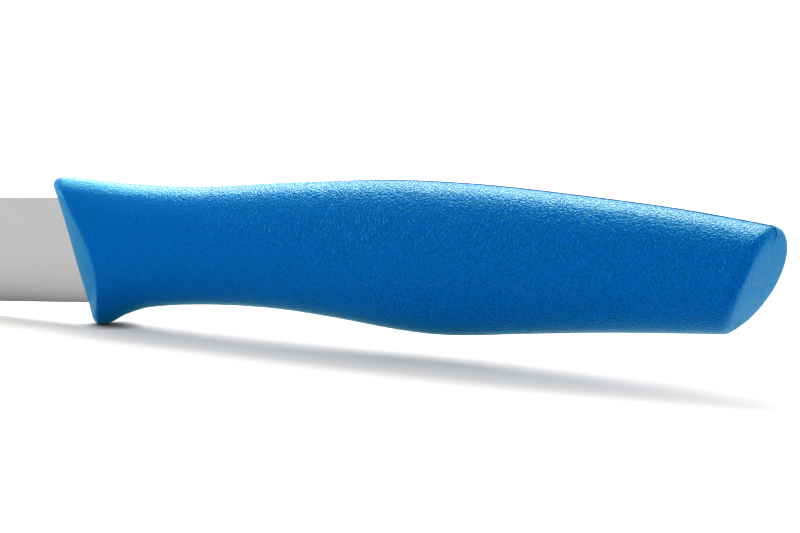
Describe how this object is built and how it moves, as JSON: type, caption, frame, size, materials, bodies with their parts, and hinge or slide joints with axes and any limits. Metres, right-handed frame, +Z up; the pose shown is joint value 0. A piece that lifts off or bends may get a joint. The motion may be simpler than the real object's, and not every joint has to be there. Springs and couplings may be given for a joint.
{
  "type": "paring knife",
  "caption": "Paring knife with a flat-ground, spear-pointed steel blade and an oval moulded plastic handle with a finger guard, waisted neck, full belly and slanted butt.",
  "frame": {"origin": "middle of the bounding box in plan, at the level of the lowest point of the handle's belly", "axes": "+X along the knife from the point to the butt, +Z up from the cutting edge to the spine, Y across the blade, with the middle plane at Y = 0"},
  "size_m": [0.2078, 0.0146, 0.021],
  "materials": {
    "blade_steel": "satin, fine-ground",
    "handle_plastic": "fine leathery mould grain"
  },
  "bodies": {
    "root": {"blade": "blade_steel", "handle": "handle_plastic"}
  },
  "joints": []
}
